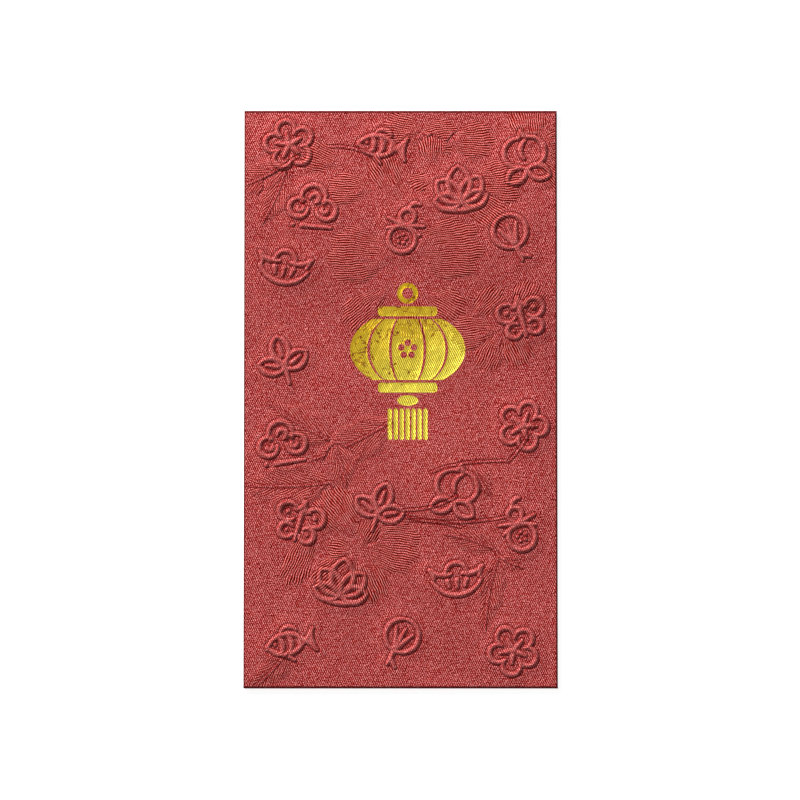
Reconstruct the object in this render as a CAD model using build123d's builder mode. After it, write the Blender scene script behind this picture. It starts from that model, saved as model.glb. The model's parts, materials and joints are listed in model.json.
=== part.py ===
from build123d import *
import os
from math import asin, cos, degrees, radians, sin, sqrt

# Red paper gift envelope with a peel-and-seal flap, lying flat with its front face up.
# X runs across the envelope, Y runs up it towards the flap's fold, and Z is its thickness.
# The origin is under the envelope's middle, on the surface that it lies on. Lengths are in mm.

# Folded sheet and the layers of its stack
envelope_width = 90.0
envelope_height = 166.0
paper = 0.25
note_room = 0.25  # slack inside the empty pocket
side_glue_depth = 0.10
tape_depth = 0.05
liner_depth = 0.05
liner_clearance = 0.02
overrun = 1.0  # how far a cutting shape passes what it cuts

# Back of the pocket
back_edge_margin = 0.8  # free edge of the back panel, in from the left side
back_foot_margin = 0.5  # foot of the back panel, clear of the bottom fold
throat_drop = 6.0  # pocket's mouth, below the top fold
thumb_cut_width = 32.0
thumb_cut_depth = 5.0
side_flap_width = 11.0
side_flap_taper = 5.0
side_flap_end_margin = 3.0
side_glue_margin = 2.5
bottom_flap_depth = 14.0
bottom_flap_taper = 8.0
flap_side_margin = 0.8  # both flaps, in from the envelope's sides
bottom_glue_margin = 3.0

# Top flap with its adhesive strip
top_flap_depth = 36.0
top_flap_taper = 7.0
top_flap_corner = 6.0
crease_leg = 0.3  # straight end of the top fold, towards the flap
tape_width = 10.0
tape_tip_margin = 4.0
tape_end_margin = 6.0
liner_overhang = 0.6
liner_tab_length = 4.0

# Embossed ornaments on the front
ornament_size = 16.0
stroke_width = 1.6
relief_height = 0.5

# Stamped foil lantern on the front
foil_depth = 0.04
foil_gap = 0.8
lantern_shift_x = 2.0
lantern_shift_y = 10.7
loop_diameter = 6.0
loop_band = 1.4
cap_width = 17.0
cap_height = 2.8
cap_corner = 1.0
lantern_width = 33.0
lantern_height = 17.5
lantern_crown = 2.25  # how far the lantern's oval would pass its flat ends
knot_width = 6.0
knot_height = 3.0
strand_length = 9.0
strand_width = 1.2
strand_gap = 0.5
strand_count = 7
rib_shares = (0.30, 0.68)
bloom_ring_share = 0.42
bloom_petal_share = 0.21

# Heights of the layers, from the surface up
seal_gap = tape_depth + liner_depth + liner_clearance
back_bottom = paper + seal_gap
back_top = back_bottom + paper
side_flap_bottom = back_top + side_glue_depth
front_bottom = side_flap_bottom + paper + note_room
front_top = front_bottom + paper

# Outer radii of the folds, and the lines where the flat panels begin
right_fold_radius = (front_top - back_bottom) / 2
left_fold_radius = (front_top - side_flap_bottom) / 2
end_fold_radius = front_top / 2
right_line = envelope_width / 2 - right_fold_radius
left_line = left_fold_radius - envelope_width / 2
end_line = envelope_height / 2 - end_fold_radius
throat_line = end_line - throat_drop
back_left = back_edge_margin - envelope_width / 2
back_foot = back_foot_margin - end_line
flap_half_width = envelope_width / 2 - flap_side_margin

os.makedirs("parts", exist_ok=True)


def hand_over(piece, name):
    piece.part.label = name
    export_step(piece.part, f"parts/{name}.step")


def draw_box(x_low, y_low, x_high, y_high, mode=Mode.ADD):
    with Locations(((x_low + x_high) / 2, (y_low + y_high) / 2)):
        Rectangle(x_high - x_low, y_high - y_low, mode=mode)


def draw_half_ring(radius):
    # Section of a fold, on the +X side of its axis
    Circle(radius)
    Circle(radius - paper, mode=Mode.SUBTRACT)
    reach = radius + overrun
    draw_box(-reach, -reach, 0, reach, mode=Mode.SUBTRACT)


# Strokes of the embossed ornaments, in shares of the ornament's size.
# A disc is (x, y, radius), a bar (x, y, x, y), an arc (x, y, radius, start angle, turn).
def polar_shares(radius_share, angle):
    return radius_share * cos(radians(angle)), radius_share * sin(radians(angle))


def mirrored_shares(strokes):
    out = list(strokes)
    for form, x_share, y_share, *rest in strokes:
        if form == "arc":
            radius_share, start, turn = rest
            rest = (radius_share, 180 - start - turn, turn)
        elif form == "bar":
            end_x_share, end_y_share = rest
            rest = (-end_x_share, end_y_share)
        out.append((form, -x_share, y_share, *rest))
    return out


def leaf_shares(x_share, y_share, angle, length_share):
    # Two arcs that meet at the leaf's foot and tip
    bow_share = 0.56 * length_share
    offset_share = sqrt(bow_share**2 - length_share**2 / 4)
    half_turn = degrees(asin(length_share / 2 / bow_share))
    along_x, along_y = polar_shares(length_share / 2, angle)
    strokes = []
    for side in (90, -90):
        away_x, away_y = polar_shares(offset_share, angle - side)
        centre = (x_share + along_x + away_x, y_share + along_y + away_y)
        strokes.append(("arc", *centre, bow_share, angle + side - half_turn, 2 * half_turn))
    return strokes


def spoke_shares(x_share, y_share, near_share, far_share, angles):
    # Bars that point away from one place
    strokes = []
    for angle in angles:
        near_x, near_y = polar_shares(near_share, angle)
        far_x, far_y = polar_shares(far_share, angle)
        strokes.append(("bar", x_share + near_x, y_share + near_y, x_share + far_x, y_share + far_y))
    return strokes


def ring_shares(x_share, y_share, ring_share, disc_share, angles):
    # Discs round one place
    strokes = []
    for angle in angles:
        away_x, away_y = polar_shares(ring_share, angle)
        strokes.append(("disc", x_share + away_x, y_share + away_y, disc_share))
    return strokes


fifth_angles = range(90, 450, 72)
ornament_stroke_shares = {
    "blossom": [("arc", *polar_shares(0.275, angle), 0.16, angle - 125, 250) for angle in fifth_angles]
    + spoke_shares(0, 0, 0.10, 0.235, fifth_angles)
    + [("disc", 0, 0, 0.085)],
    "cloud": mirrored_shares([("arc", -0.25, -0.05, 0.17, 60, 300), ("arc", -0.22, -0.05, 0.05, 170, 220)])
    + [("arc", 0, 0.16, 0.22, -25, 230), ("arc", 0.02, 0.14, 0.08, -70, 250)]
    + [("bar", -0.16, -0.36, 0.36, -0.36), ("disc", -0.33, -0.36, 0.05)],
    "gourd": mirrored_shares([("bar", 0, 0.02, 0.33, 0.09), ("bar", 0, 0.02, 0.3, -0.09)])
    + [("arc", 0, -0.22, 0.24, 105, 330), ("arc", 0, 0.19, 0.13, -65, 310)]
    + [("arc", 0.12, 0.34, 0.12, 65, 110)]
    + ring_shares(0, -0.22, 0.08, 0.042, fifth_angles),
    "fan": [("arc", 0, 0.13, 0.3, start, 180) for start in (90, 270)]
    + spoke_shares(0, -0.14, 0.05, 0.4, (66, 90, 114))
    + [("bar", 0, -0.2, 0, -0.44), ("bar", 0.02, -0.34, 0.15, -0.43)],
    "peach": mirrored_shares([("arc", 0.1, 0.03, 0.27, 285, 170), ("bar", 0.04, 0.33, 0, 0.43)])
    + leaf_shares(-0.02, -0.27, 205, 0.4)
    + leaf_shares(0.02, -0.27, -25, 0.4)
    + [("arc", 0.16, 0.05, 0.22, 120, 95)],
    "fish": [("arc", -0.08, -0.22, 0.4, 28, 124), ("arc", -0.08, 0.22, 0.4, 208, 124)]
    + [("bar", 0.3, 0, 0.44, 0.2), ("bar", 0.3, 0, 0.44, -0.2), ("arc", 0.78, 0, 0.39, 150, 60)]
    + [("arc", -0.34, 0, 0.2, -48, 96), ("arc", -0.18, 0, 0.2, -40, 80), ("arc", -0.02, 0, 0.2, -28, 56)]
    + [("disc", -0.27, 0.03, 0.04), ("arc", 0, 0.13, 0.17, 30, 105), ("bar", -0.1, -0.2, 0.02, -0.31)],
    "ingot": mirrored_shares([("arc", -0.2, 0.5, 0.4, 225, 60), ("bar", -0.45, 0.2, -0.4, 0.05)])
    + mirrored_shares([("bar", -0.17, -0.01, -0.14, -0.11)])
    + [("arc", 0, 0.23, 0.5, 208, 124), ("arc", 0, 0.12, 0.19, -8, 196), ("bar", 0, 0, 0, -0.13)],
    "lotus": leaf_shares(0, -0.24, 90, 0.64)
    + leaf_shares(0.015, -0.25, 48, 0.56)
    + leaf_shares(-0.015, -0.25, 132, 0.56)
    + leaf_shares(0.02, -0.27, 12, 0.46)
    + leaf_shares(-0.02, -0.27, 168, 0.46)
    + [("arc", 0, 0.5, 0.9, 245, 50)],
    "butterfly": mirrored_shares(
        [("arc", -0.25, 0.13, 0.165, 20, 300), ("arc", -0.19, -0.2, 0.13, 50, 290)]
        + [("arc", -0.14, 0.33, 0.13, 270, 110), ("disc", -0.25, 0.13, 0.055), ("disc", -0.19, -0.2, 0.035)]
    )
    + [("bar", 0, 0.18, 0, -0.34)],
    "sprig": leaf_shares(0, -0.06, 90, 0.49)
    + leaf_shares(0.02, -0.16, 25, 0.46)
    + leaf_shares(-0.02, -0.16, 155, 0.46)
    + spoke_shares(0, -0.06, 0.14, 0.34, (90,))
    + spoke_shares(0, -0.16, 0.15, 0.34, (25, 155))
    + [("bar", 0, -0.1, 0, -0.45)],
}

# Kind, place from the envelope's middle as shares of its width and height, and turn in degrees
ornament_place_shares = [
    ("blossom", -0.356, 0.440, 12),
    ("fish", -0.060, 0.437, -8),
    ("peach", 0.396, 0.423, 10),
    ("lotus", 0.189, 0.364, 6),
    ("cloud", -0.280, 0.333, -6),
    ("gourd", 0.014, 0.297, -14),
    ("fan", 0.358, 0.278, 24),
    ("ingot", -0.372, 0.226, -10),
    ("butterfly", 0.387, 0.140, 14),
    ("sprig", -0.375, 0.067, 16),
    ("cloud", -0.378, -0.076, 8),
    ("blossom", 0.390, -0.047, -20),
    ("peach", 0.179, -0.154, -12),
    ("butterfly", -0.321, -0.213, -16),
    ("sprig", -0.066, -0.187, -18),
    ("gourd", 0.374, -0.218, 18),
    ("lotus", -0.187, -0.315, -7),
    ("ingot", 0.179, -0.313, 5),
    ("fish", -0.350, -0.422, 11),
    ("fan", -0.006, -0.420, -28),
    ("blossom", 0.358, -0.434, 30),
]


def stroke_faces(form, x_share, y_share, *rest):
    x = x_share * ornament_size
    y = y_share * ornament_size
    if form == "disc":
        return [Pos(x, y) * Circle(rest[0] * ornament_size, mode=Mode.PRIVATE)]
    if form == "bar":
        end = (rest[0] * ornament_size, rest[1] * ornament_size)
        centre_lines = [Edge.make_line((x, y), end)]
    else:
        radius_share, start, turn = rest
        radius = radius_share * ornament_size
        middle = start + turn / 2
        halves = ((start, middle), (middle, start + turn))
        centre_lines = [Edge.make_circle(radius, Plane((x, y, 0)), *half) for half in halves]
    return [SlotArc(line, stroke_width, mode=Mode.PRIVATE) for line in centre_lines]


# Front panel with its embossed ornaments
with BuildPart() as front_panel:
    with BuildSketch(Plane.XY.offset(front_bottom)):
        draw_box(left_line, -end_line, right_line, end_line)
    extrude(amount=paper)
    for kind, x_share, y_share, turn in ornament_place_shares:
        centre = (x_share * envelope_width, y_share * envelope_height, front_top)
        with BuildSketch(Plane(Location(centre, (0, 0, turn)))):
            for stroke in ornament_stroke_shares[kind]:
                add(stroke_faces(*stroke))
    extrude(amount=relief_height)
hand_over(front_panel, "front_panel")

# Folds along the two sides, as half rings of paper
right_axis_height = front_top - right_fold_radius
with BuildPart() as right_fold:
    with BuildSketch(Plane((right_line, -end_line, right_axis_height), x_dir=(1, 0, 0), z_dir=(0, 1, 0))):
        draw_half_ring(right_fold_radius)
    extrude(amount=2 * end_line)
hand_over(right_fold, "right_fold")

left_axis_height = front_top - left_fold_radius
with BuildPart() as left_fold:
    with BuildSketch(Plane((left_line, -end_line, left_axis_height), x_dir=(-1, 0, 0), z_dir=(0, 1, 0))):
        draw_half_ring(left_fold_radius)
    extrude(amount=2 * end_line)
hand_over(left_fold, "left_fold")

# Back panel with the thumb cut in the pocket's mouth
with BuildPart() as back_panel:
    with BuildSketch(Plane.XY.offset(back_bottom)):
        draw_box(back_left, back_foot, right_line, throat_line)
        with Locations(((back_left + right_line) / 2, throat_line)):
            Ellipse(thumb_cut_width / 2, thumb_cut_depth, mode=Mode.SUBTRACT)
    extrude(amount=paper)
hand_over(back_panel, "back_panel")

# Side flap inside the pocket, and the glue that holds the back panel to it
side_flap_inner = left_line + side_flap_width
side_flap_foot = back_foot + side_flap_end_margin
side_flap_head = throat_line - side_flap_end_margin
with BuildPart() as side_glue_flap:
    with BuildSketch(Plane.XY.offset(side_flap_bottom)):
        Polygon(
            (left_line, side_flap_foot),
            (side_flap_inner, side_flap_foot + side_flap_taper),
            (side_flap_inner, side_flap_head - side_flap_taper),
            (left_line, side_flap_head),
            align=None,
        )
    extrude(amount=paper)
hand_over(side_glue_flap, "side_glue_flap")

with BuildPart() as side_glue:
    with BuildSketch(Plane.XY.offset(back_top)):
        draw_box(
            left_line + side_glue_margin,
            side_flap_foot + side_flap_taper,
            side_flap_inner - side_glue_margin,
            side_flap_head - side_flap_taper,
        )
    extrude(amount=side_glue_depth)
hand_over(side_glue, "side_glue")

# Bottom fold, the flap that closes the pocket's foot, and its glue
with BuildPart() as bottom_fold:
    fold_start = (-envelope_width / 2, -end_line, end_fold_radius)
    with BuildSketch(Plane(fold_start, x_dir=(0, -1, 0), z_dir=(1, 0, 0))):
        draw_half_ring(end_fold_radius)
    extrude(amount=envelope_width)
hand_over(bottom_fold, "bottom_fold")

bottom_flap_edge = bottom_flap_depth - end_line
bottom_tip_half_width = flap_half_width - bottom_flap_taper
with BuildPart() as bottom_flap:
    with BuildSketch():
        Polygon(
            (-flap_half_width, -end_line),
            (flap_half_width, -end_line),
            (bottom_tip_half_width, bottom_flap_edge),
            (-bottom_tip_half_width, bottom_flap_edge),
            align=None,
        )
    extrude(amount=paper)
hand_over(bottom_flap, "bottom_flap")

with BuildPart() as bottom_glue:
    glue_half_width = bottom_tip_half_width - bottom_glue_margin
    with BuildSketch(Plane.XY.offset(paper)):
        draw_box(
            -glue_half_width,
            back_foot + bottom_glue_margin,
            glue_half_width,
            bottom_flap_edge - bottom_glue_margin,
        )
    extrude(amount=seal_gap)
hand_over(bottom_glue, "bottom_glue")

# Top fold, with a short straight end where the flap begins
with BuildPart() as top_fold:
    fold_start = (-envelope_width / 2, end_line, end_fold_radius)
    with BuildSketch(Plane(fold_start, x_dir=(0, 1, 0), z_dir=(1, 0, 0))):
        draw_half_ring(end_fold_radius)
        draw_box(-crease_leg, -end_fold_radius, 0, paper - end_fold_radius)
    extrude(amount=envelope_width)
hand_over(top_fold, "top_fold")

# Top flap, folded down over the back
flap_root = end_line - crease_leg
flap_tip = end_line - top_flap_depth
flap_tip_half_width = flap_half_width - top_flap_taper
with BuildPart() as top_flap:
    with BuildSketch() as flap_outline:
        Polygon(
            (-flap_half_width, flap_root),
            (-flap_tip_half_width, flap_tip),
            (flap_tip_half_width, flap_tip),
            (flap_half_width, flap_root),
            align=None,
        )
        fillet(flap_outline.vertices().group_by(Axis.Y)[0], radius=top_flap_corner)
    extrude(amount=paper)
hand_over(top_flap, "top_flap")

# Adhesive strip on the flap's inner face, and the liner that is pulled off it
tape_low = flap_tip + tape_tip_margin
tape_half_length = flap_tip_half_width - tape_end_margin
with BuildPart() as flap_tape:
    with BuildSketch(Plane.XY.offset(paper)):
        draw_box(-tape_half_length, tape_low, tape_half_length, tape_low + tape_width)
    extrude(amount=tape_depth)
hand_over(flap_tape, "flap_tape")

with BuildPart() as release_liner:
    with BuildSketch(Plane.XY.offset(paper + tape_depth)) as liner_outline:
        draw_box(
            -tape_half_length - liner_overhang,
            tape_low - liner_overhang,
            tape_half_length + liner_overhang + liner_tab_length,
            tape_low + tape_width + liner_overhang,
        )
        chamfer(liner_outline.vertices().group_by(Axis.X)[-1], length=tape_width / 4)
    extrude(amount=liner_depth)
hand_over(release_liner, "release_liner")

# Foil lantern, stacked from its hanging loop down to its tassel
stack_heights = [loop_diameter, cap_height, lantern_height, cap_height, knot_height, strand_length]
stack_top = lantern_shift_y + (sum(stack_heights) + (len(stack_heights) - 1) * foil_gap) / 2
stack_middles = []
for stack_height in stack_heights:
    stack_middles.append(stack_top - stack_height / 2)
    stack_top -= stack_height + foil_gap
loop_y, cap_y, lantern_y, base_y, knot_y, strand_y = stack_middles


def foil_plane(y):
    return Plane((lantern_shift_x, y, front_top))


with BuildPart() as foil_loop:
    with BuildSketch(foil_plane(loop_y)):
        Circle(loop_diameter / 2)
        Circle(loop_diameter / 2 - loop_band, mode=Mode.SUBTRACT)
    extrude(amount=foil_depth)
hand_over(foil_loop, "foil_loop")

for name, y in (("foil_cap", cap_y), ("foil_base", base_y)):
    with BuildPart() as foil_collar:
        with BuildSketch(foil_plane(y)):
            RectangleRounded(cap_width, cap_height, cap_corner)
        extrude(amount=foil_depth)
    hand_over(foil_collar, name)

# Gores of the lantern, parted by ribs of bare paper
oval_height = lantern_height / 2 + lantern_crown
rib_places = [share * lantern_width / 2 for share in rib_shares]
middle_half_width = rib_places[0] - foil_gap / 2
with BuildPart() as foil_gore_middle:
    with BuildSketch(foil_plane(lantern_y)):
        Ellipse(middle_half_width, oval_height)
        Rectangle(lantern_width, lantern_height, mode=Mode.INTERSECT)
        with PolarLocations(bloom_ring_share * middle_half_width, 5, start_angle=90):
            Circle(bloom_petal_share * middle_half_width, mode=Mode.SUBTRACT)
    extrude(amount=foil_depth)
hand_over(foil_gore_middle, "foil_gore_middle")

gore_edges = [
    ("inner", rib_places[0] + foil_gap / 2, rib_places[1] - foil_gap / 2),
    ("outer", rib_places[1] + foil_gap / 2, lantern_width / 2),
]
for side, side_name in ((-1, "left"), (1, "right")):
    for place, inner_width, outer_width in gore_edges:
        with BuildPart() as foil_gore:
            with BuildSketch(foil_plane(lantern_y)):
                Ellipse(outer_width, oval_height)
                with Locations((side * lantern_width / 2, 0)):
                    Rectangle(lantern_width, lantern_height, mode=Mode.INTERSECT)
                Ellipse(inner_width, oval_height, mode=Mode.SUBTRACT)
            extrude(amount=foil_depth)
        hand_over(foil_gore, f"foil_gore_{side_name}_{place}")

# Knot and tassel under the lantern
with BuildPart() as foil_knot:
    with BuildSketch(foil_plane(knot_y)):
        Ellipse(knot_width / 2, knot_height / 2)
    extrude(amount=foil_depth)
hand_over(foil_knot, "foil_knot")

with BuildPart() as foil_tassel:
    with BuildSketch(foil_plane(strand_y)):
        with GridLocations(strand_width + strand_gap, strand_length, strand_count, 1):
            SlotOverall(strand_length, strand_width, rotation=90)
    extrude(amount=foil_depth)
hand_over(foil_tassel, "foil_tassel")
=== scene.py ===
import json
import math

import bpy
import numpy as np
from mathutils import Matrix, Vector

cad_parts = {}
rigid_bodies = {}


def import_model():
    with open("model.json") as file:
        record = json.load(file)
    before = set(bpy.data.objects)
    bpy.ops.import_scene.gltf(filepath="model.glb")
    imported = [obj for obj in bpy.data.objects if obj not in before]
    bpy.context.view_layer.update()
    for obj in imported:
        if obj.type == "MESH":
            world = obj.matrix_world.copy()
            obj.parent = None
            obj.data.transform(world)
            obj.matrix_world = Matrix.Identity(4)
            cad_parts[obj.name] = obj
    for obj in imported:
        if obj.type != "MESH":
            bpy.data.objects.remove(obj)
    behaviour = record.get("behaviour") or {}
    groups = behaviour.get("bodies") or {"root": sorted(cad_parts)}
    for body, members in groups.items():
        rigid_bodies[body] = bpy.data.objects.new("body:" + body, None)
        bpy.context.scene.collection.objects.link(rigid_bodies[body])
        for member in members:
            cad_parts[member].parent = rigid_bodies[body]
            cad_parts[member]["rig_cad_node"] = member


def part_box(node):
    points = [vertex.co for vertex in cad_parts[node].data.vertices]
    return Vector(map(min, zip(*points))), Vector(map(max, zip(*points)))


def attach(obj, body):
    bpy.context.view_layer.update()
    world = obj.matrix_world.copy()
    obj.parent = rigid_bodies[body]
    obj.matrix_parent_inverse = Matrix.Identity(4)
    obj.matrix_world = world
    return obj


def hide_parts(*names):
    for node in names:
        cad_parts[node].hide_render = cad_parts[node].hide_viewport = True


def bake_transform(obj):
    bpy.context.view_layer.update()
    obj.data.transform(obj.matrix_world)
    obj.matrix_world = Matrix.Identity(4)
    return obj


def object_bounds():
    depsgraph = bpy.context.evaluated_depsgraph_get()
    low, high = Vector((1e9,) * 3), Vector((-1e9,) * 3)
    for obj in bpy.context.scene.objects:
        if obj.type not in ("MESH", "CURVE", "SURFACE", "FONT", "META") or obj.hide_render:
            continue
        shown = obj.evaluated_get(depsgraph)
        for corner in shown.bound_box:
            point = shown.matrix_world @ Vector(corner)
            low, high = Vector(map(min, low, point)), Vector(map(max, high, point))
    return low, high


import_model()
cadLow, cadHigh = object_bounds()
mm = 0.001
print("frame loaded")


# Sizes in mm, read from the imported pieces
def boxMm(node):
    low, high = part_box(node)
    return np.array(low) / mm, np.array(high) / mm


frontLow, frontHigh = boxMm("front_panel")
backLow, backHigh = boxMm("back_panel")
flapLow, flapHigh = boxMm("top_flap")
frontTop = boxMm("foil_cap")[0][2]
paperDepth = backHigh[2] - backLow[2]


def smoothStep(low, high, value):
    t = np.clip((value - low) / (high - low), 0, 1)
    return t * t * (3 - 2 * t)


# Meshes made from arrays

meshLook = {"sharpAngle": 55, "mapScale": 0.98, "mapMargin": 0.005}


def buildMesh(name, verts, polygons, slots, low, high):
    mesh = bpy.data.meshes.new(name)
    points = (verts * mm).astype(np.float32)
    sizes = np.concatenate([np.full(len(p), p.shape[1]) for p in polygons])
    loops = np.concatenate([p.ravel() for p in polygons])
    slotOf = np.concatenate([np.full(len(p), s) for p, s in zip(polygons, slots)])
    starts = np.concatenate([[0], np.cumsum(sizes)[:-1]])
    mesh.vertices.add(len(points))
    mesh.vertices.foreach_set("co", points.ravel())
    mesh.loops.add(len(loops))
    mesh.loops.foreach_set("vertex_index", loops.astype(np.int32))
    mesh.polygons.add(len(sizes))
    mesh.polygons.foreach_set("loop_start", starts.astype(np.int32))
    mesh.polygons.foreach_set("material_index", slotOf.astype(np.int32))
    mesh.polygons.foreach_set("use_smooth", np.ones(len(sizes), bool))
    mesh.update(calc_edges=True)
    mesh.validate()
    # Outer faces lie in the left half of the map, inner faces and edges in the right half
    width, height = (high - low)[:2]
    flat = (points[:, :2] / mm - low[:2]) / max(width * 2, height)
    uv = flat[loops] * meshLook["mapScale"] + meshLook["mapMargin"]
    uv[:, 0] += 0.5 * np.repeat(slotOf > 0, sizes)
    mesh.uv_layers.new(name="OFBake").data.foreach_set("uv", uv.astype(np.float32).ravel())
    return mesh


def gridIndex(grid):
    return np.arange(grid.size).reshape(grid.shape)


def gridQuads(index):
    quads = np.stack([index[:-1, :-1], index[:-1, 1:], index[1:, 1:], index[1:, :-1]], -1)
    return quads.reshape(-1, 4)


def rimLoop(index):
    return np.concatenate([index[0, :-1], index[:-1, -1], index[-1, :0:-1], index[:0:-1, 0]])


def wallQuads(upper, lower):
    return np.stack([lower, np.roll(lower, -1), np.roll(upper, -1), upper], -1)


def addField(mesh, field, values):
    attribute = mesh.attributes.new(field, "FLOAT", "POINT")
    attribute.data.foreach_set("value", values.astype(np.float32).ravel())


def addObject(name, data):
    thing = bpy.data.objects.new(name, data)
    bpy.context.scene.collection.objects.link(thing)
    return thing


def placePiece(mesh, name, materials, body, nodes):
    piece = addObject(name, mesh)
    for material in materials:
        mesh.materials.append(material)
    mesh.set_sharp_from_angle(angle=math.radians(meshLook["sharpAngle"]))
    if body:
        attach(piece, body)
    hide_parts(*nodes)
    return piece


# Peony line pattern pressed into the sheet

peony = {
    "pitch": 0.70,  # between hatch lines
    "leafPitch": 0.66,
    "veinStep": 5.4,  # between the side veins of a leaf
    "lift": 0.20,
    "ridge": 0.07,  # of stems and midribs
    "ragged": 0.50,  # how unevenly the hatch lines end
    "stemHalfWidth": 0.55,
    "fan": (0.80, 0.16),  # how far the lines of a petal spread out or stay side by side
    "sway": (0.16, 0.07),  # slow and quick wander of the lines
    "dash": 0.35,  # how much the lines thin out here and there
    "scallop": (0.04, 0.10),  # of petals and leaves
    "turnOffset": 40,  # keeps the count of lines above zero
    "borderJump": 2.4,
    # Foot x and y, direction, length, half spread, share of the length where the hatch begins
    "petals": (
        (38, 72, 100, 14, 44, 0.42), (39, 72, 15, 16, 40, 0.40), (38, 71, 325, 16, 40, 0.40),
        (7, 77, 172, 12, 42, 0.36), (4, 75, 4, 13, 44, 0.40), (13, 74, 2, 14, 44, 0.42),
        (-8, 60, 178, 13, 42, 0.36), (-17, 67, 160, 12, 42, 0.40), (18, 61, 4, 17, 46, 0.45),
        (16, 60, 326, 17, 30, 0.45), (0, 57, 118, 15, 34, 0.55), (1, 42, 4, 22.5, 44, 0.48),
        (-1, 41, 179, 20, 46, 0.48), (9, 67, 95, 9, 46, 0.50), (10, 64, 200, 8, 40, 0.45),
        (-3, 32, 222, 17, 34, 0.30), (2, 32, 278, 16, 32, 0.30), (6, 31, 332, 14, 36, 0.30),
        (20, 22, 48, 13, 34, 0.36), (29, 20, 188, 15, 38, 0.40), (29, 20, 246, 13, 34, 0.38),
        (30, 21, 296, 13, 36, 0.40), (33, 23, 60, 12, 44, 0.45),
        (-24, -34, 248, 21, 22, 0.34), (-12, -40, 128, 17, 40, 0.45), (-11, -41, 350, 17, 50, 0.45),
        (-12, -44, 222, 16, 36, 0.45), (-12, -44, 288, 15, 40, 0.45), (-12, -43, 60, 9, 44, 0.40),
        (-13, -44, 170, 8, 44, 0.40),
    ),
    # Foot x and y, direction, length, half width
    "leaves": (
        (-33, 67, 203, 17, 5.6), (-33, 66, 246, 18, 5.0), (-2, -6, 206, 27, 6.4), (-20, -12, 148, 22, 6.0),
        (-19, -13, 284, 14, 4.6), (-20, -24, 181, 27, 7.2), (28, -45, 260, 23, 4.6), (28, -45, 336, 9, 2.6),
        (27, -43, 164, 16, 3.8), (21, -20, 302, 10, 3.2), (-32, -72, 226, 17, 4.4),
    ),
    "stems": (
        ((-26, 71), (-18, 74.5), (-8, 70)), ((1, -32), (10, -32), (16, -28)),
        ((2, -34), (14, -37), (30, -34)), ((3, -35), (22, -35), (28, -45)),
        ((9, -21), (18, -17.5), (31, -18)), ((31, -18), (35, -14), (38, -8)),
        ((-33, 67), (-30, 70), (-26, 71)), ((-20, -24), (-16, -28), (-12, -38)),
    ),
}
# Values stored on each sheet, as they are away from the pattern
fieldBlanks = {"hatchTurn": 0.0, "hatchDepth": 0.0, "veinGap": 9.0, "puffGap": 9.0}


def blankPaint(xs, ys):
    blanks = {"lift": 0.0, **fieldBlanks}
    fields = {name: np.full((len(ys), len(xs)), value) for name, value in blanks.items()}
    return {"xs": xs, "ys": ys, **fields}


def paintWindow(paint, x, y, reach):
    cols = slice(*np.searchsorted(paint["xs"], (x - reach, x + reach)))
    rows = slice(*np.searchsorted(paint["ys"], (y - reach, y + reach)))
    across, up = np.meshgrid(paint["xs"][cols] - x, paint["ys"][rows] - y)
    return (rows, cols), across, up


def paintInside(paint, spot, inside, values):
    for name, value in values.items():
        paint[name][spot][inside] = value[inside]


def raggedEnd(turn):
    # A fixed uneven length for each hatch line
    line = np.floor(turn + 0.5)
    return np.abs(np.sin(line * 12.99 + 4.1) * 43.7) % 1.0


def brokenLine(along, chance, stretch):
    gaps = smoothStep(-0.9, 0.1, np.sin(along * (stretch + 0.6 * chance) + 40 * chance))
    return 1 - peony["dash"] + peony["dash"] * gaps


def paintPetal(paint, x, y, degreesTurn, length, halfSpread, begin):
    spot, across, up = paintWindow(paint, x, y, length * 1.15)
    radius = np.hypot(across, up)
    spread = math.radians(halfSpread)
    turn = np.angle(np.exp(1j * (np.arctan2(up, across) - math.radians(degreesTurn))))
    share = turn / spread
    wavy = 1 + peony["scallop"][0] * np.cos(5 * math.pi * share + x)
    rim = length * np.clip(1 - share**2, 0, 1)**0.35 * wavy
    edge = np.minimum(rim - radius, (spread - np.abs(turn)) * radius)
    inside = (np.abs(share) < 1) & (edge > 0)
    reach = np.clip(radius / np.maximum(rim, 1e-6), 0, 1)
    # Lines nearly side by side, wandering a little
    slow, quick = peony["sway"]
    sway = slow * np.sin(radius * 0.75 + 4 * share + x) + quick * np.sin(radius * 2.1 - 6 * share + y)
    spreadOut, sideBySide = peony["fan"]
    width = spreadOut * radius + sideBySide * length
    hatchTurn = (turn * width + sway + peony["turnOffset"]) / peony["pitch"]
    chance = raggedEnd(hatchTurn)
    start = begin - 0.32 + peony["ragged"] * chance * (1.2 - begin)
    dash = brokenLine(radius, chance, 0.8)
    paintInside(paint, spot, inside, {
        "lift": peony["lift"] * smoothStep(0, 2.6, edge),
        "hatchTurn": hatchTurn,
        "hatchDepth": dash * smoothStep(start, start + 0.12, reach) * smoothStep(0.1, 0.5, edge),
        "veinGap": edge + 0.10,
    })


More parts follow.
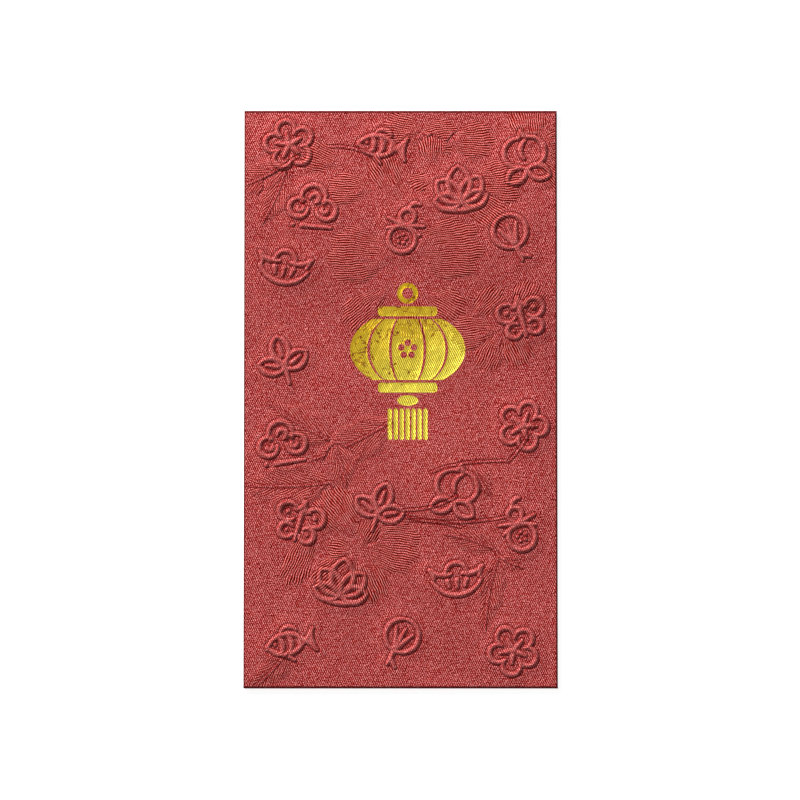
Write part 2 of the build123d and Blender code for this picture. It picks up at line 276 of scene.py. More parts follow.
def paintLeaf(paint, x, y, degreesTurn, length, width):
    spot, across, up = paintWindow(paint, x, y, length)
    c, s = polar(1, degreesTurn)
    along, side = across * c + up * s, up * c - across * s
    side = side + 0.035 * along * (length - along) / length * 4 * (1 if x > 0 else -1)
    aside = np.abs(side)
    share = np.clip(along / length, 0, 1)
    half = width * np.sin(math.pi * share**0.75) * (1 + peony["scallop"][1] * np.cos(7 * math.pi * share))
    inside = (along > 0) & (along < length) & (aside < half)
    # Side veins leave the midrib slantwise, with finer lines between them
    step = peony["veinStep"]
    rib = 0.62 * np.abs((along - 1.25 * aside) % step - step / 2)
    sway = 0.10 * np.sin(along * 0.9 + aside * 0.7 + x)
    slant = 0.85 * aside + 0.025 * aside**2 - 0.42 * along
    hatchTurn = (slant + sway + peony["turnOffset"]) / peony["leafPitch"]
    chance = raggedEnd(hatchTurn)
    fade = 1 - smoothStep(0.55, 0.70 + 0.30 * chance, aside / np.maximum(half, 1e-6))
    fade *= brokenLine(along, chance, 0.7)
    clear = smoothStep(0.25, 0.60, np.minimum(aside - 0.25, rib)) * smoothStep(0.1, 0.5, half - aside)
    veins = np.minimum(np.abs(aside - 0.55) + 0.04, np.abs(rib - 0.28) + 0.14)
    sideRidge = 0.5 - 0.5 * smoothStep(0.1, 0.4, rib)
    ridge = peony["ridge"] * np.maximum(1 - smoothStep(0.1, 0.6, aside), sideRidge)
    paintInside(paint, spot, inside, {
        "lift": peony["lift"] * smoothStep(0, 2, half - aside) + ridge,
        "hatchTurn": hatchTurn,
        "hatchDepth": 0.8 * clear * np.maximum(fade, 0.35),
        "veinGap": np.minimum(half - aside + 0.08, veins),
    })


def paintStem(paint, points):
    start, bend, end = (np.array(p, float) for p in points)
    track = [start * (1 - t)**2 + bend * 2 * t * (1 - t) + end * t**2 for t in np.linspace(0, 1, 160)]
    low, high = np.min(track, 0) - 2, np.max(track, 0) + 2
    middle, reach = (low + high) / 2, np.max(high - low) / 2
    spot, across, up = paintWindow(paint, *middle, reach)
    distance = np.min([np.hypot(across - x + middle[0], up - y + middle[1]) for x, y in track], 0)
    half = peony["stemHalfWidth"]
    field = paint["veinGap"][spot]
    field[:] = np.minimum(field, np.abs(distance - half))
    lift = paint["lift"][spot]
    lift[:] = np.maximum(lift, peony["ridge"] * (1 - smoothStep(0.1, half, distance)))


def calmBorders(turn, depth, limit):
    # No hatch where two pieces of the pattern meet
    acrossJump = np.abs(np.diff(turn, axis=1)) > limit
    upJump = np.abs(np.diff(turn, axis=0)) > limit
    depth[:, :-1][acrossJump] = 0
    depth[:, 1:][acrossJump] = 0
    depth[:-1][upJump] = 0
    depth[1:][upJump] = 0


def paintPeony(xs, ys, flip=1):
    # The same garden serves the front and, turned half round, the back and the flaps
    paint = blankPaint(xs, ys)
    for points in peony["stems"]:
        paintStem(paint, [(flip * x, flip * y) for x, y in points])
    for x, y, turn, *leaf in peony["leaves"]:
        paintLeaf(paint, flip * x, flip * y, turn + 90 * (1 - flip), *leaf)
    for x, y, turn, *petal in peony["petals"]:
        paintPetal(paint, flip * x, flip * y, turn + 90 * (1 - flip), *petal)
    limit = peony["borderJump"] * (xs[1] - xs[0]) / peony["pitch"]
    calmBorders(paint["hatchTurn"], paint["hatchDepth"], limit)
    return paint


# Puffy ornaments, as strokes in hundredths of their size

ornament = {
    "size": 16.0,
    "strokeHalfWidth": 0.8,
    "puffHeight": 1.35 * (frontHigh[2] - frontTop),  # the crest of a soft stroke
    "shoulder": (0.28, 0.5),  # share of the height that the steep edge takes, and its width
    "crown": 1.1,  # width over which the rest of the height is reached
    "melt": 0.14,  # how softly strokes run together
    "grooveDepth": 0.08, "grooveWidth": 0.20, "groovePlace": 0.1,
    "swell": 0.20,  # paper drawn up round the strokes
    "swellReach": 3.2,
    "reach": 0.75,  # of the area looked at, in sizes
    "gapLimits": (-3, 6),
    "taper": 0.4,  # share of the width that a stroke loses to its thin end
    "thickBar": 1.2, "thickArc": 1.18, "leafBow": 0.56,
}


def polar(radius, angle, x=0, y=0):
    return x + radius * math.cos(math.radians(angle)), y + radius * math.sin(math.radians(angle))


def mirrored(strokes):
    out = list(strokes)
    for form, x, y, *rest in strokes:
        if form == "arc":
            radius, start, turn = rest
            rest = (radius, 180 - start - turn, turn)
        elif form == "bar":
            rest = (-rest[0], rest[1])
        out.append((form, -x, y, *rest))
    return out


def leafArcs(x, y, angle, length):
    bow = ornament["leafBow"] * length
    offset = math.sqrt(bow**2 - length**2 / 4)
    halfTurn = math.degrees(math.asin(length / 2 / bow))
    middle = polar(length / 2, angle, x, y)
    return [
        ("arc", *polar(offset, angle - side, *middle), bow, angle + side - halfTurn, 2 * halfTurn)
        for side in (90, -90)
    ]


def spokes(x, y, near, far, angles):
    return [("bar", *polar(near, a, x, y), *polar(far, a, x, y)) for a in angles]


def discRing(x, y, ring, radius, angles):
    return [("disc", *polar(ring, a, x, y), radius) for a in angles]


fifths = range(90, 450, 72)
ornamentStrokes = {
    "blossom": [("arc", *polar(27.5, a), 16, a - 125, 250) for a in fifths]
    + spokes(0, 0, 10, 23.5, fifths) + [("disc", 0, 0, 8.5)],
    "cloud": mirrored([("arc", -25, -5, 17, 60, 300), ("arc", -22, -5, 5, 170, 220)])
    + [("arc", 0, 16, 22, -25, 230), ("arc", 2, 14, 8, -70, 250)]
    + [("bar", -16, -36, 36, -36), ("disc", -33, -36, 5)],
    "gourd": mirrored([("bar", 0, 2, 33, 9), ("bar", 0, 2, 30, -9)])
    + [("arc", 0, -22, 24, 105, 330), ("arc", 0, 19, 13, -65, 310), ("arc", 12, 34, 12, 65, 110)]
    + discRing(0, -22, 8, 4.2, fifths),
    "fan": [("arc", 0, 13, 30, start, 180) for start in (90, 270)] + spokes(0, -14, 5, 40, (66, 90, 114))
    + [("bar", 0, -20, 0, -44), ("bar", 2, -34, 15, -43)],
    "peach": mirrored([("arc", 10, 3, 27, 285, 170), ("bar", 4, 33, 0, 43)])
    + leafArcs(-2, -27, 205, 40) + leafArcs(2, -27, -25, 40) + [("arc", 16, 5, 22, 120, 95)],
    "fish": [("arc", -8, -22, 40, 28, 124), ("arc", -8, 22, 40, 208, 124)]
    + [("bar", 30, 0, 44, 20), ("bar", 30, 0, 44, -20), ("arc", 78, 0, 39, 150, 60)]
    + [("disc", -27, 3, 4), ("arc", -34, 0, 20, -48, 96), ("arc", -18, 0, 20, -40, 80)]
    + [("arc", -2, 0, 20, -28, 56), ("arc", 0, 13, 17, 30, 105), ("bar", -10, -20, 2, -31)],
    "ingot": mirrored([("arc", -20, 50, 40, 225, 60), ("bar", -45, 20, -40, 5)])
    + mirrored([("bar", -17, -1, -14, -11)])
    + [("arc", 0, 23, 50, 208, 124), ("arc", 0, 12, 19, -8, 196), ("bar", 0, 0, 0, -13)],
    "lotus": leafArcs(0, -24, 90, 64) + leafArcs(1.5, -25, 48, 56) + leafArcs(-1.5, -25, 132, 56)
    + leafArcs(2, -27, 12, 46) + leafArcs(-2, -27, 168, 46) + [("arc", 0, 50, 90, 245, 50)],
    "butterfly": mirrored([("arc", -25, 13, 16.5, 20, 300), ("arc", -19, -20, 13, 50, 290)])
    + mirrored([("arc", -14, 33, 13, 270, 110), ("disc", -25, 13, 5.5), ("disc", -19, -20, 3.5)])
    + [("bar", 0, 18, 0, -34)],
    "sprig": leafArcs(0, -6, 90, 49) + leafArcs(2, -16, 25, 46) + leafArcs(-2, -16, 155, 46)
    + spokes(0, -6, 14, 34, (90,)) + spokes(0, -16, 15, 34, (25, 155)) + [("bar", 0, -10, 0, -45)],
}

# Kind, place in shares of the envelope's width and height, turn in degrees
ornamentPlaces = [
    ("blossom", -0.356, 0.440, 12), ("fish", -0.060, 0.437, -8), ("peach", 0.396, 0.423, 10),
    ("lotus", 0.189, 0.364, 6), ("cloud", -0.280, 0.333, -6), ("gourd", 0.014, 0.297, -14),
    ("fan", 0.358, 0.278, 24), ("ingot", -0.372, 0.226, -10), ("butterfly", 0.387, 0.140, 14),
    ("sprig", -0.375, 0.067, 16), ("cloud", -0.378, -0.076, 8), ("blossom", 0.390, -0.047, -20),
    ("peach", 0.179, -0.154, -12), ("butterfly", -0.321, -0.213, -16), ("sprig", -0.066, -0.187, -18),
    ("gourd", 0.374, -0.218, 18), ("lotus", -0.187, -0.315, -7), ("ingot", 0.179, -0.313, 5),
    ("fish", -0.350, -0.422, 11), ("fan", -0.006, -0.420, -28), ("blossom", 0.358, -0.434, 30),
]


def strokeGap(stroke, across, up):
    form, *values = stroke
    unit, width, taper = ornament["size"] / 100, ornament["strokeHalfWidth"], ornament["taper"]
    if form == "disc":
        x, y, radius = (v * unit for v in values)
        return np.hypot(across - x, up - y) - radius
    if form == "bar":
        x, y, endX, endY = (v * unit for v in values)
        alongX, alongY = endX - x, endY - y
        t = np.clip(((across - x) * alongX + (up - y) * alongY) / (alongX**2 + alongY**2), 0, 1)
        half = width * (ornament["thickBar"] - taper * t)
        return np.hypot(across - x - t * alongX, up - y - t * alongY) - half
    x, y, radius = (v * unit for v in values[:3])
    halfTurn = math.radians(values[4] / 2)
    middle = math.radians(values[3]) + halfTurn
    turn = np.angle(np.exp(1j * (np.arctan2(up - y, across - x) - middle)))
    turn = np.clip(turn, -halfTurn, halfTurn)
    endX, endY = x + radius * np.cos(turn + middle), y + radius * np.sin(turn + middle)
    half = width * (ornament["thickArc"] - taper * (turn / halfTurn)**2)
    return np.hypot(across - endX, up - endY) - half


def puffOrnaments(paint):
    width, height = ((cadHigh - cadLow)[axis] / mm for axis in (0, 1))
    reach, melt = ornament["size"] * ornament["reach"], ornament["melt"]
    relief = np.zeros_like(paint["lift"])
    for kind, xShare, yShare, turn in ornamentPlaces:
        spot, across, up = paintWindow(paint, xShare * width, yShare * height, reach)
        c, s = polar(1, turn)
        across, up = across * c + up * s, up * c - across * s
        gaps = (strokeGap(stroke, across, up) for stroke in ornamentStrokes[kind])
        gap = -melt * np.log(sum(np.exp(-np.clip(g, *ornament["gapLimits"]) / melt) for g in gaps))
        edgeShare, edgeWidth = ornament["shoulder"]
        edge, crown = (1 - np.clip(1 + gap / wide, 0, 1)**2 for wide in (edgeWidth, ornament["crown"]))
        puff = ornament["puffHeight"] * (edgeShare * edge + (1 - edgeShare) * crown)
        fromGroove = (gap - ornament["groovePlace"]) / ornament["grooveWidth"]
        groove = ornament["grooveDepth"] * np.exp(-fromGroove**2)
        outside = (1 - smoothStep(0, ornament["swellReach"], gap)) * (1 - smoothStep(0, 0.3, -gap))
        swell = ornament["swell"] * outside
        relief[spot] += puff - groove + swell
        paint["puffGap"][spot] = np.minimum(paint["puffGap"][spot], gap)
    return relief


# Materials

def setInputs(node, inputs):
    for key, value in inputs.items():
        if isinstance(value, bpy.types.NodeSocket):
            node.id_data.links.new(value, node.inputs[key])
        else:
            node.inputs[key].default_value = value


def addNode(tree, kind, inputs=None, **settings):
    node = tree.nodes.new("ShaderNode" + kind)
    for key, value in settings.items():
        setattr(node, key, value)
    setInputs(node, inputs or {})
    return node.outputs


def follow(kind, inputs, **settings):
    # A node in the same tree as the sockets that feed it
    tree = next(value.id_data for value in inputs.values() if isinstance(value, bpy.types.NodeSocket))
    return addNode(tree, kind, inputs, **settings)


def calc(operation, *values):
    return follow("Math", dict(enumerate(values)), operation=operation)[0]


def ramp(value, low, high, toLow=0.0, toHigh=1.0):
    inputs = {"Value": value, "From Min": low, "From Max": high, "To Min": toLow, "To Max": toHigh}
    return follow("MapRange", inputs, interpolation_type="SMOOTHSTEP")[0]


def mixColour(factor, a, b, blend="MIX"):
    inputs = {0: factor, 6: a, 7: b}  # the node's colour sockets
    return follow("Mix", inputs, data_type="RGBA", blend_type=blend)[2]


def objectPlace(tree):
    return addNode(tree, "TexCoord")["Object"]


def noise(place, scale, detail, output="Fac"):
    return follow("TexNoise", {"Vector": place, "Scale": scale, "Detail": detail})[output]


def bump(height):
    return follow("Bump", {"Strength": 1.0, "Distance": 1.0, "Height": height})[0]


def newGroup(name, inputs):
    tree = bpy.data.node_groups.new(name, "ShaderNodeTree")
    for socketName, value in inputs.items():
        socket = tree.interface.new_socket(socketName, in_out="INPUT", socket_type="NodeSocketFloat")
        socket.default_value = value
    return tree, tree.nodes.new("NodeGroupInput").outputs


def closeGroup(tree, results):
    for socketName in results:
        tree.interface.new_socket(socketName, in_out="OUTPUT", socket_type="NodeSocketFloat")
    setInputs(tree.nodes.new("NodeGroupOutput"), results)
    return tree


def placeGroup(tree, group, **values):
    return addNode(tree, "Group", values, node_tree=group)


# Pressed lines of the peony pattern and round the ornaments, from the fields stored on each sheet, with the
# painted shade along them
pressedLook = {
    "inputs": {
        "hatchDepth": 0.08, "veinDepth": 0.10, "veinWidth": 0.34, "moatDepth": 0.06, "moatWidth": 0.34,
    },
    "falloff": 1.5, "moatPlace": 0.05, "veinShade": 1.1, "moatShade": 0.68,
    "top": (-0.55, -0.05),  # from the middle of a stroke, where the painted highlight is full, to its edge
}


def makePressedLines():
    look = pressedLook
    tree, inputs = newGroup("pressedLines", look["inputs"])
    turn, depth, veinGap, puffGap = (
        addNode(tree, "Attribute", attribute_name=name)["Fac"] for name in fieldBlanks
    )
    wave = calc("COSINE", calc("MULTIPLY", turn, 2 * math.pi))
    trough = calc("MULTIPLY_ADD", wave, 0.5, 0.5)
    height = calc("MULTIPLY", calc("MULTIPLY", trough, depth), inputs["hatchDepth"])
    moatGap = calc("ABSOLUTE", calc("SUBTRACT", puffGap, look["moatPlace"]))
    shades = []
    # Painted shade along the veins and round the ornaments, beside their bumps
    for kind, gap in (("vein", veinGap), ("moat", moatGap)):
        near = calc("MINIMUM", calc("DIVIDE", gap, inputs[kind + "Width"]), 1.0)
        line = calc("POWER", calc("SUBTRACT", 1.0, near), look["falloff"])
        height = calc("MULTIPLY_ADD", line, inputs[kind + "Depth"], height)
        shades.append(calc("MULTIPLY", line, look[kind + "Shade"]))
    return closeGroup(tree, {
        "height": calc("MULTIPLY", height, -mm),
        "shade": calc("MINIMUM", calc("MAXIMUM", *shades), 1.0),
        "crest": calc("SUBTRACT", 1.0, trough),
        "hatch": depth,
        "top": ramp(puffGap, *look["top"], 1.0, 0.0),
    })


# Twill grain and mica flecks of the paper, the brightest flecks painted as glints
grainLook = {
    "drift": (160.0, 700.0, 0.55),  # slow and quick scale of the wander, and the quick one's share
    "patchScale": 1300.0,
    # Cycles per metre across and up, wander, and weight by patch. One twill is even, two come and go
    "waves": (
        (1632.0, 800.0, 1.0, 0.6, 0.05), (1600.0, -760.0, 3.0, 1.6, -0.66), (60.0, 1690.0, 3.0, 1.6, -0.70),
    ),
    "micaScale": 5200.0, "micaWeight": (0.24, 0.37),
    # The brightest mica flecks are painted glints
    "glint": (0.95, 0.3),  # the brightest flecks, and what they add
    "fibreScale": 3300.0, "fibreWeight": (0.4, -0.20),
    "cloudScale": 45.0, "twillRise": 0.3,
}


def makePaperGrain():
    look = grainLook
    tree, inputs = newGroup("paperGrain", {"grainRise": 0.02})
    place = objectPlace(tree)
    slow, quick, share = look["drift"]
    drift = calc("MULTIPLY_ADD", noise(place, quick, 1.0), share, noise(place, slow, 2.0))
    axes = follow("SeparateXYZ", {0: place})
    patches = follow("SeparateColor", {0: noise(place, look["patchScale"], 1.0, "Color")})
    sines = []
    weave = 0.0
    for patch, (x, y, bend, gain, offset) in zip(patches, look["waves"]):
        run = calc("MULTIPLY_ADD", axes[0], x, calc("MULTIPLY", axes[1], y))
        bent = calc("MULTIPLY_ADD", drift, bend, run)
        sines.append(calc("SINE", calc("MULTIPLY", bent, 2 * math.pi)))
        weave = calc("MULTIPLY_ADD", sines[-1], calc("MULTIPLY_ADD", patch, gain, offset), weave)
    cells = follow("TexVoronoi", {"Vector": place, "Scale": look["micaScale"]})
    mica = follow("SeparateColor", {0: cells["Color"]})[0]
    fibre = noise(place, look["fibreScale"], 1.0)
    fleck = calc("ADD", weave, calc("MULTIPLY_ADD", mica, *look["micaWeight"]))
    fleck = calc("ADD", fleck, calc("MULTIPLY_ADD", fibre, *look["fibreWeight"]))
    brightFrom, brightGain = look["glint"]
    fleck = calc("MULTIPLY_ADD", calc("GREATER_THAN", mica, brightFrom), brightGain, fleck)
    rough = calc("MULTIPLY_ADD", sines[0], look["twillRise"], calc("SUBTRACT", fibre, 0.5))
    return closeGroup(tree, {
        "height": calc("MULTIPLY", calc("MULTIPLY", rough, inputs["grainRise"]), mm),
        "fleck": fleck,
        "twill": sines[0],
        "cloud": noise(place, look["cloudScale"], 3.0),
    })


pressedLines = makePressedLines()
paperGrain = makePaperGrain()


def newMaterial(name):
    material = bpy.data.materials.new(name)
    material.use_nodes = True
    tree = material.node_tree
    return material, tree, tree.nodes["Principled BSDF"]


def colourRamp(value, stops):
    node = value.id_data.nodes.new("ShaderNodeValToRGB")
    elements = node.color_ramp.elements
    for index, (place, colour) in enumerate(stops):
        element = elements[index] if index < 2 else elements.new(place)
        element.position, element.color = place, (*colour, 1)
    setInputs(node, {"Fac": value})
    return node.outputs["Color"]


cloudTone = (0.3, 0.7, 0.92, 1.04)  # thin and thick clouds in the paper, and the tone of each
redPearl = {
    "name": "redPearl",
    # Grain colours, deep red to pink; the palest are the painted mica glints
    "stops": (
        (0.0, (0.075, 0.0, 0.0)), (1.0, (0.90, 0.315, 0.305)), (0.25, (0.18, 0.001, 0.001)),
        (0.5, (0.33, 0.018, 0.016)), (0.75, (0.56, 0.094, 0.089)),
    ),
    # Painted shade, deep red, in the troughs of the hatch, and painted highlight, pink, on its narrow
    # crests
    "hatchStops": (
        (0.0, (0.040, 0.0, 0.0)), (1.0, (0.95, 0.30, 0.275)), (0.5, (0.27, 0.006, 0.004)),
        (0.8, (0.585, 0.066, 0.055)),
    ),
    "crestGrain": (0.35, -0.175),
    # groove: colour of the painted shade along the pressed veins and round the ornaments
    "groove": (0.115, 0.0, 0.0, 1), "sheen": (1.0, 0.55, 0.52, 1),
    "topHighlight": 0.16, "topHighlightColour": (0.64, 0.18, 0.17, 1),  # painted highlight on the tops of the ornaments
    "roughness": (0.60, 0.46), "lines": True, "specular": 0.05, "grainRise": 0.03,
    # Painted slow shade, darker in a band across the sheet: from and to along its height in metres, and the
    # tone at each
    "tone": ((-0.004, 0.022, 1.0, 0.92), (0.032, 0.066, 0.92, 1.04)),
}
# Painted shade: the folds' paper much darker than the front, for the dark line along the envelope's edges
redCrease = {
    "name": "redCrease",
    "stops": ((0.05, (0.03, 0.0, 0.0)), (0.95, (0.20, 0.025, 0.024)), (0.5, (0.09, 0.006, 0.006))),
    "sheen": (1.0, 0.40, 0.36, 1), "roughness": (0.7, 0.55),
    "lines": False, "specular": 0.2, "grainRise": 0.02,
}
redInside = {
    "name": "redInside",
    "stops": ((0.05, (0.30, 0.035, 0.03)), (0.95, (0.42, 0.065, 0.055)), (0.5, (0.36, 0.05, 0.042))),
    "sheen": (1.0, 0.6, 0.55, 1), "roughness": (0.9, 0.75),
    "lines": False, "specular": 0.2, "grainRise": 0.015,
}


def makeRedPaper(look):
    material, tree, shader = newMaterial(look["name"])
    grain = placeGroup(tree, paperGrain, grainRise=look["grainRise"])
    colour = colourRamp(grain["fleck"], look["stops"])
    shade = ramp(grain["cloud"], *cloudTone)
    height = grain["height"]
    if look["lines"]:
        lines = placeGroup(tree, pressedLines)
        # Hatch coloured as painted shade in its troughs and painted highlight on its crests
        crest = calc("MULTIPLY_ADD", grain["fleck"], *look["crestGrain"])
        crest = calc("ADD", lines["crest"], crest)
        colour = mixColour(lines["hatch"], colour, colourRamp(crest, look["hatchStops"]))
        # Painted slow shade, darker in a band across the sheet
        up = follow("SeparateXYZ", {0: objectPlace(tree)})[1]
        tone = calc("MAXIMUM", *(ramp(up, *step) for step in look["tone"]))
        shade = calc("MULTIPLY", shade, tone)
        height = calc("ADD", height, lines["height"])
    shadeColour = follow("CombineColor", {0: shade, 1: shade, 2: shade})[0]
    colour = mixColour(1.0, colour, shadeColour, "MULTIPLY")
    if look["lines"]:
        # Painted highlight on the tops of the ornaments, then painted shade along the pressed lines
        paintedHighlight = calc("MULTIPLY", lines["top"], look["topHighlight"])
        colour = mixColour(paintedHighlight, colour, look["topHighlightColour"])
        colour = mixColour(lines["shade"], colour, look["groove"])
    setInputs(shader, {
        "Base Color": colour,
        "Roughness": ramp(grain["fleck"], 0, 1, *look["roughness"]),
        "Normal": bump(height),
        "Specular IOR Level": look["specular"],
        "Specular Tint": look["sheen"],
    })
    return material


goldLook = {
    "stops": ((0.0, (0.25, 0.13, 0.0)), (1.0, (1.0, 0.97, 0.175)), (0.5, (0.94, 0.69, 0.018))),
    # groove: painted shade in the pressed lines; olive: painted shade towards the upper left; trough: share
    # of painted shade in the hatch troughs
    "groove": (0.30, 0.13, 0.004, 1), "flaw": (0.22, 0.05, 0.015, 1), "olive": (0.54, 0.32, 0.008, 1),
    "grainRise": 0.02, "lines": {"hatchDepth": 0.08, "veinDepth": 0.04}, "crinkle": 0.5, "trough": 0.55,
    "twill": 0.5, "fleck": (0.7, 0.13), "roughness": (0.40, 0.26),
    # The lean and the next ramp set the painted shade towards the upper left
    "lean": (-13.0, 14.0), "upperLeftShade": (0.36, 1.05, 0.0, 0.85),
    "patchScale": 150.0, "hairScale": 210.0, "hairWidth": 0.009, "hairFrom": 0.68,
    "chipScale": 1100.0, "chipPatch": 0.8, "chipFrom": 1.18,
}


def makeGoldFoil():
    look = goldLook
    material, tree, shader = newMaterial("goldFoil")
    grain = placeGroup(tree, paperGrain, grainRise=look["grainRise"])
    lines = placeGroup(tree, pressedLines, **look["lines"])
    place = objectPlace(tree)
    fleck = calc("MULTIPLY_ADD", grain["fleck"], *look["fleck"])
    colour = colourRamp(calc("MULTIPLY_ADD", grain["twill"], look["twill"], fleck), look["stops"])
    # Painted shade: the foil darker and olive towards the upper left, broken up by the paper's clouds
    axes = follow("SeparateXYZ", {0: place})
    leanX, leanY = look["lean"]
    lean = calc("MULTIPLY_ADD", axes[0], leanX, calc("MULTIPLY", axes[1], leanY))
    upperLeftShade = ramp(calc("ADD", lean, grain["cloud"]), *look["upperLeftShade"])
    colour = mixColour(upperLeftShade, colour, look["olive"])
    # Painted shade in the pressed lines and in the troughs of the hatch
    trough = calc("MULTIPLY", lines["hatch"], calc("SUBTRACT", 1.0, lines["crest"]))
    pressed = calc("MAXIMUM", lines["shade"], calc("MULTIPLY", trough, look["trough"]))
    colour = mixColour(pressed, colour, look["groove"])
    # Hairline cracks and small flaws where the foil didn't take
    patch = noise(place, look["patchScale"], 3.0)
    hair = calc("ABSOLUTE", calc("SUBTRACT", noise(place, look["hairScale"], 4.0), 0.5))
    hair = calc("LESS_THAN", hair, look["hairWidth"])
    worn = calc("GREATER_THAN", calc("ADD", patch, lean), look["hairFrom"])
    chip = calc("MULTIPLY_ADD", patch, look["chipPatch"], noise(place, look["chipScale"], 2.0))
    chip = calc("GREATER_THAN", chip, look["chipFrom"])
    flaw = calc("MAXIMUM", calc("MULTIPLY", hair, worn), chip)
    height = calc("ADD", grain["height"], lines["height"])
    height = calc("MULTIPLY_ADD", patch, look["crinkle"] * mm, height)
    setInputs(shader, {
        "Base Color": mixColour(flaw, colour, look["flaw"]),
        "Metallic": 1.0,
        "Roughness": ramp(grain["fleck"], 0, 1, *look["roughness"]),
        "Normal": bump(height),
    })
    return material


# Plain thin layers with fibres: dark and light colour, roughness, scale of the fibres
thinLooks = {
    "driedGlue": ((0.62, 0.56, 0.44, 1), (0.74, 0.69, 0.58, 1), 0.35, 700.0),
    "adhesiveTape": ((0.70, 0.68, 0.60, 1), (0.82, 0.80, 0.74, 1), 0.3, 1400.0),
    "releasePaper": ((0.74, 0.72, 0.64, 1), (0.86, 0.85, 0.79, 1), 0.4, 900.0),
}
fibreLook = {"stretch": (0.25, 1.0, 1.0), "dull": 0.25, "rise": 0.01}


def makeThinLayer(name, dark, light, roughness, scale):
    material, tree, shader = newMaterial(name)
    stretched = follow("Mapping", {"Vector": objectPlace(tree), "Scale": fibreLook["stretch"]})[0]
    fibre = noise(stretched, scale, 4.0)
    setInputs(shader, {
        "Base Color": mixColour(ramp(fibre, 0.35, 0.65), dark, light),
        "Roughness": ramp(fibre, 0.3, 0.7, roughness, roughness + fibreLook["dull"]),
        "Normal": bump(calc("MULTIPLY", fibre, fibreLook["rise"] * mm)),
    })
    return material


pearlPaper, creaseShadePaper, innerPaper = (makeRedPaper(look) for look in (redPearl, redCrease, redInside))
gold = makeGoldFoil()
thin = {name: makeThinLayer(name, *look) for name, look in thinLooks.items()}
print("materials made")


# Front sheet, one dense mesh with its ornaments pressed up

frontSheet = {"step": 0.2, "warp": 0.16, "edgeFade": 4.0, "bulge": 0.3}


def gentleWarp(across, up):
    # Slow waves of a sheet that has been folded and pressed
    a = np.sin(across / 19 + 0.6) * np.cos(up / 31 - 0.4)
    b = np.sin(up / 17 + across / 43 + 1.9)
    c = np.cos(across / 11 - up / 23 + 0.8)
    return 0.5 * a + 0.3 * b + 0.2 * c


def gridLine(low, high, step):
    return np.linspace(low, high, int(round((high - low) / step)) + 1)


def makeFrontSheet():
    xs, ys = (gridLine(frontLow[axis], frontHigh[axis], frontSheet["step"]) for axis in (0, 1))
    paint = paintPeony(xs, ys)
    across, up = np.meshgrid(xs, ys)
    fromEdge = np.minimum.reduce([across - xs[0], xs[-1] - across, up - ys[0], ys[-1] - up])
    fade = smoothStep(0, frontSheet["edgeFade"], fromEdge)
    bulge = frontSheet["bulge"] * (1 - (across / xs[-1])**4) * (1 - (up / ys[-1])**2)
    slow = np.maximum(bulge, 0) + paint["lift"] + frontSheet["warp"] * gentleWarp(across, up)
    paint["relief"] = puffOrnaments(paint) + slow * fade
    index = gridIndex(across)
    upper = np.stack([across, up, frontTop + paint["relief"]], -1).reshape(-1, 3)
    rim = rimLoop(index)
    lowerRing = upper[rim] * (1, 1, 0) + (0, 0, frontLow[2])
    ring = np.arange(len(rim)) + index.size
    verts = np.concatenate([upper, lowerRing])
    polygons = [gridQuads(index), wallQuads(rim, ring), ring[None, ::-1]]
    mesh = buildMesh("frontSheet", verts, polygons, (0, 1, 1), frontLow, frontHigh)
    for field, blank in fieldBlanks.items():
        addField(mesh, field, np.append(paint[field].ravel(), np.full(len(rim), blank)))
    placePiece(mesh, "frontSheet", (pearlPaper, innerPaper), "pocket", ["front_panel"])
    return paint


frontPaint = makeFrontSheet()
print("front sheet made")


# Other panels, cut as rows or columns between two edges

panelSheet = {"step": 0.4, "paintStep": 0.12}


def makePanel(name, lines, lowEdge, highEdge, bottom, body, node, byColumns=False):
    count = int(round(np.max(highEdge - lowEdge) / panelSheet["step"])) + 1
    spread = lowEdge[:, None] + (highEdge - lowEdge)[:, None] * np.linspace(0, 1, count)
    fixed = np.broadcast_to(lines[:, None], spread.shape)
    across, up = (fixed, spread) if byColumns else (spread, fixed)
    low, high = (np.array([edge(across), edge(up)]) for edge in (np.min, np.max))
    xs, ys = (gridLine(*ends, panelSheet["paintStep"]) for ends in zip(low, high))
    paint = paintPeony(xs, ys, -1)
    lower = np.stack([across, up, np.full(across.shape, bottom)], -1).reshape(-1, 3)
    verts = np.concatenate([lower, lower + (0, 0, paperDepth)])
    index = gridIndex(across)
    upperIndex = index + index.size
    lowerFaces, upperFaces = gridQuads(index), gridQuads(upperIndex)
    walls = wallQuads(rimLoop(upperIndex), rimLoop(index))
    if byColumns:
        upperFaces, walls = upperFaces[:, ::-1], walls[:, ::-1]
    else:
        lowerFaces = lowerFaces[:, ::-1]
    mesh = buildMesh(name, verts, [lowerFaces, upperFaces, walls], (0, 1, 1), low, high)
    values = {field: samplePaint(paint, field, across, up) for field in fieldBlanks}
    limit = peony["borderJump"] * panelSheet["step"] / peony["pitch"]
    calmBorders(values["hatchTurn"], values["hatchDepth"], limit)
    for field, value in values.items():
        addField(mesh, field, np.tile(value.ravel(), 2))
    placePiece(mesh, name, (pearlPaper, innerPaper), body, [node])


def samplePaint(paint, field, x, y):
    xs, ys, values = paint["xs"], paint["ys"], paint[field]
    i = np.clip((x - xs[0]) / (xs[1] - xs[0]), 0, len(xs) - 1.001)
    j = np.clip((y - ys[0]) / (ys[1] - ys[0]), 0, len(ys) - 1.001)
    if field == "hatchTurn":  # counts of two lines don't mix
        return values[np.round(j).astype(int), np.round(i).astype(int)]
    i0, j0 = i.astype(int), j.astype(int)
    u, v = i - i0, j - j0
    lower = values[j0, i0] * (1 - u) + values[j0, i0 + 1] * u
    upper = values[j0 + 1, i0] * (1 - u) + values[j0 + 1, i0 + 1] * u
    return lower * (1 - v) + upper * v


